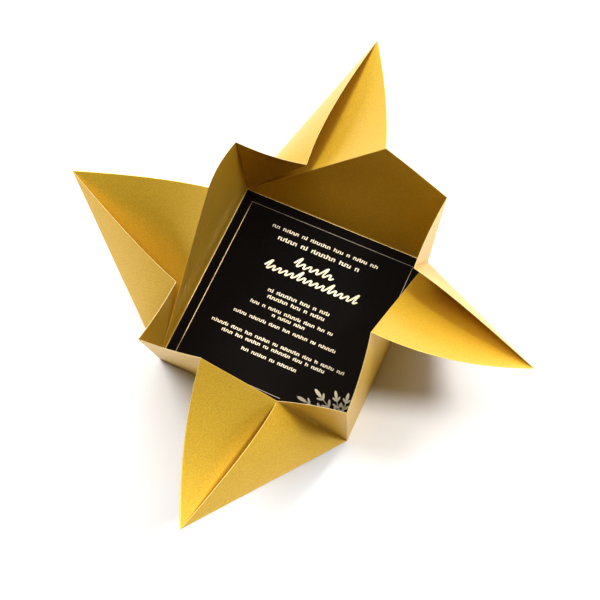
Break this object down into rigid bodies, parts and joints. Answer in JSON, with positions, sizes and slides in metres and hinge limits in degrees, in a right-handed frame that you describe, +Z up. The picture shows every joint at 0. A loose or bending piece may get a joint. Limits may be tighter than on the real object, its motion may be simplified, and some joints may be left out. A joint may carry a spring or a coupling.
{
  "type": "origami invitation",
  "caption": "Square sheet of gold paper folded into a half-open tray with a pinwheel of four petals, holding a square black printed card.",
  "frame": {"origin": "centre of the square base's underside", "axes": "+X along the base's back edge to the right, +Y towards the base's back edge, +Z up"},
  "size_m": [0.3123, 0.3427, 0.0885],
  "materials": {
    "gold_paper": "pearlescent gold paper with a fine grain",
    "black_card": "matt black",
    "gold_foil": "stamped gold foil"
  },
  "bodies": {
    "root": {"folded_wrap": "gold_paper", "card": "black_card", "foil_border": "gold_foil", "foil_sprigs": "gold_foil", "foil_row_1": "gold_foil", "foil_row_2": "gold_foil", "foil_row_3": "gold_foil", "foil_row_4": "gold_foil", "foil_row_5": "gold_foil", "foil_row_6": "gold_foil", "foil_row_7": "gold_foil", "foil_row_8": "gold_foil", "foil_row_9": "gold_foil", "foil_row_10": "gold_foil", "foil_flourish_1": "gold_foil", "foil_flourish_2": "gold_foil"}
  },
  "joints": []
}
